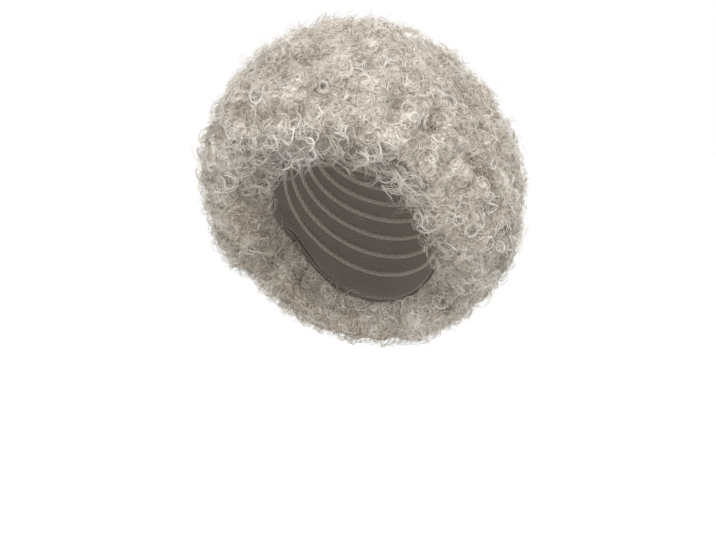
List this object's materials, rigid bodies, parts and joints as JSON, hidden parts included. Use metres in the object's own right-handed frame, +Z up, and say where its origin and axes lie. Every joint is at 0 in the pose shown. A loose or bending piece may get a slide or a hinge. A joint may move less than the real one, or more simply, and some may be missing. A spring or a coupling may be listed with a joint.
{
  "type": "curly wig",
  "caption": "Short, very full wig of tight ash-grey curls in a ball round the head, sewn in rows to a net cap with an elastic band inside its edge.",
  "frame": {"origin": "the top of the head that the cap sits on, at the inner face of the cap", "axes": "+Z up, the face looks along -Y, +X is the wearer's left"},
  "size_m": [0.2925, 0.2918, 0.2867],
  "materials": {
    "net": "knitted net",
    "elastic": "woven elastic",
    "hair": "curled fibre, silky"
  },
  "bodies": {
    "root": {"cap": "net", "edge_band": "elastic", "crown_curls": "hair", "upper_row_curls": "hair", "middle_row_curls": "hair", "lower_row_curls": "hair", "fringe_curls": "hair", "left_side_curls": "hair", "nape_curls": "hair", "right_side_curls": "hair"}
  },
  "joints": []
}
